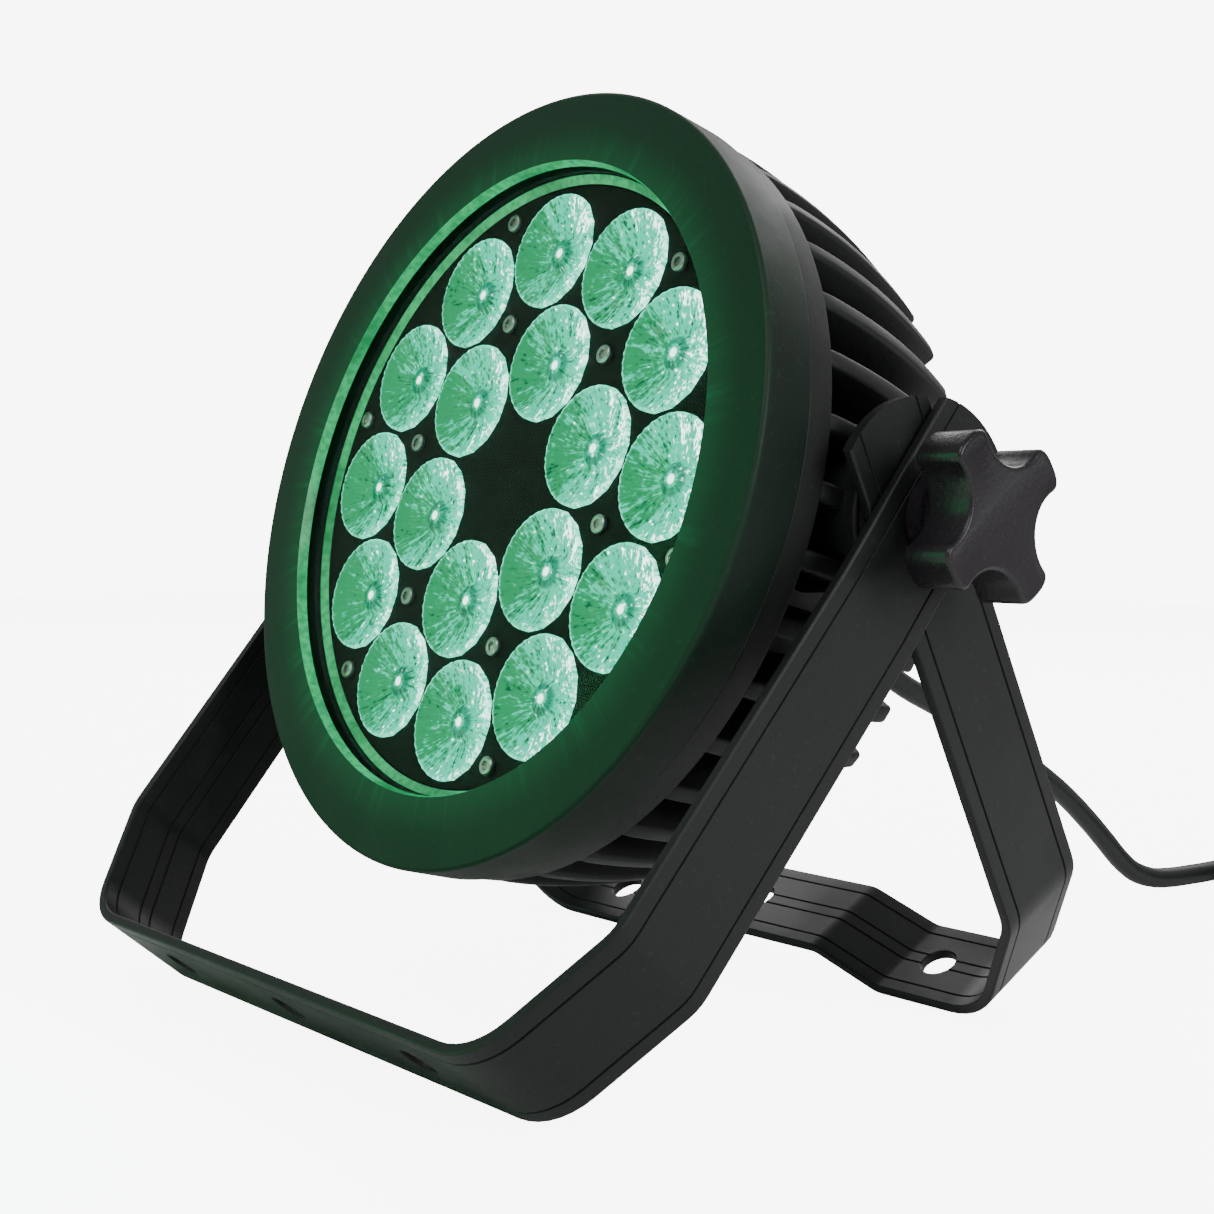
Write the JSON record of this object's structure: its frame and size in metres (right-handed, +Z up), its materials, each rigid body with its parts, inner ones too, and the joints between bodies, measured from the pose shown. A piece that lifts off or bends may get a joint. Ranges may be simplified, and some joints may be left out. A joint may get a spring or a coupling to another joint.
{
  "type": "par can light",
  "caption": "Round finned LED stage light for outdoor use, held in two U shaped straps that swing on one axis and lock with star knobs, with a mains lead.",
  "frame": {"origin": "on the surface that the light stands on, in the middle of the box of everything but the lead, its coil and its plug", "axes": "the light faces -Y, +X runs along the pivot axis, +Z is up"},
  "size_m": [0.3386, 0.5908, 0.3015],
  "materials": {
    "housing_paint": "satin powder coat",
    "strap_paint": "fine satin powder coat",
    "black_plate": "matt",
    "rubber": "matt",
    "plastic": "moulded, finely grained",
    "washer_plastic": "matt",
    "steel": "zinc plated",
    "lens": "clear optical plastic, lit green",
    "glass": "clear",
    "board": "solder mask",
    "tray": "mill"
  },
  "bodies": {
    "head": {"housing": "housing_paint", "front_bezel": "housing_paint", "front_glass": "glass", "glass_gasket": "rubber", "lens_plate": "black_plate", "lens_01": "lens", "lens_02": "lens", "lens_03": "lens", "lens_04": "lens", "lens_05": "lens", "lens_06": "lens", "lens_07": "lens", "lens_08": "lens", "lens_09": "lens", "lens_10": "lens", "lens_11": "lens", "lens_12": "lens", "lens_13": "lens", "lens_14": "lens", "lens_15": "lens", "lens_16": "lens", "lens_17": "lens", "lens_18": "lens", "plate_screw_01": "steel", "plate_screw_02": "steel", "plate_screw_03": "steel", "plate_screw_04": "steel", "plate_screw_05": "steel", "plate_screw_06": "steel", "plate_screw_07": "steel", "plate_screw_08": "steel", "plate_screw_09": "steel", "plate_screw_10": "steel", "plate_screw_11": "steel", "plate_screw_12": "steel", "led_board": "board", "power_supply": "tray", "control_board": "board", "rear_gasket": "rubber", "rear_cover": "housing_paint", "display_window": "glass", "pressure_vent": "plastic", "cable_gland": "plastic", "gland_nut": "plastic", "strain_relief": "rubber", "pivot_washer_right": "washer_plastic", "pivot_washer_left": "washer_plastic", "power_cord": "rubber", "cord_coil": "rubber", "power_plug": "rubber"},
    "front_strap": {"front_yoke": "strap_paint"},
    "rear_strap": {"rear_yoke": "strap_paint"},
    "knob_right": {"locking_knob_right": "plastic", "knob_stud_right": "steel"},
    "knob_left": {"locking_knob_left": "plastic", "knob_stud_left": "steel"},
    "button_1": {"menu_button_1": "plastic"},
    "button_2": {"menu_button_2": "plastic"},
    "button_3": {"menu_button_3": "plastic"},
    "button_4": {"menu_button_4": "plastic"}
  },
  "joints": [
    {"name": "front_strap_swing", "type": "hinge", "parent": "head", "child": "front_strap", "pos_m": [0, 0.02083, 0.16177], "axis": [-1, 0, 0], "range_deg": [-12, 190]},
    {"name": "rear_strap_swing", "type": "hinge", "parent": "head", "child": "rear_strap", "pos_m": [0, 0.02083, 0.16177], "axis": [1, 0, 0], "range_deg": [-12, 24]},
    {"name": "knob_right_turn", "type": "hinge", "parent": "head", "child": "knob_right", "pos_m": [0.16, 0.02083, 0.16177], "axis": [1, 0, 0], "range_deg": [0, 540]},
    {"name": "knob_left_turn", "type": "hinge", "parent": "head", "child": "knob_left", "pos_m": [-0.16, 0.02083, 0.16177], "axis": [-1, 0, 0], "range_deg": [0, 540]},
    {"name": "menu_button_1_press", "type": "slide", "parent": "head", "child": "button_1", "axis": [0, -0.9694, 0.2453], "range_m": [0, 0.0012], "stiffness_N_per_m": 400},
    {"name": "menu_button_2_press", "type": "slide", "parent": "head", "child": "button_2", "axis": [0, -0.9694, 0.2453], "range_m": [0, 0.0012], "stiffness_N_per_m": 400},
    {"name": "menu_button_3_press", "type": "slide", "parent": "head", "child": "button_3", "axis": [0, -0.9694, 0.2453], "range_m": [0, 0.0012], "stiffness_N_per_m": 400},
    {"name": "menu_button_4_press", "type": "slide", "parent": "head", "child": "button_4", "axis": [0, -0.9694, 0.2453], "range_m": [0, 0.0012], "stiffness_N_per_m": 400}
  ]
}
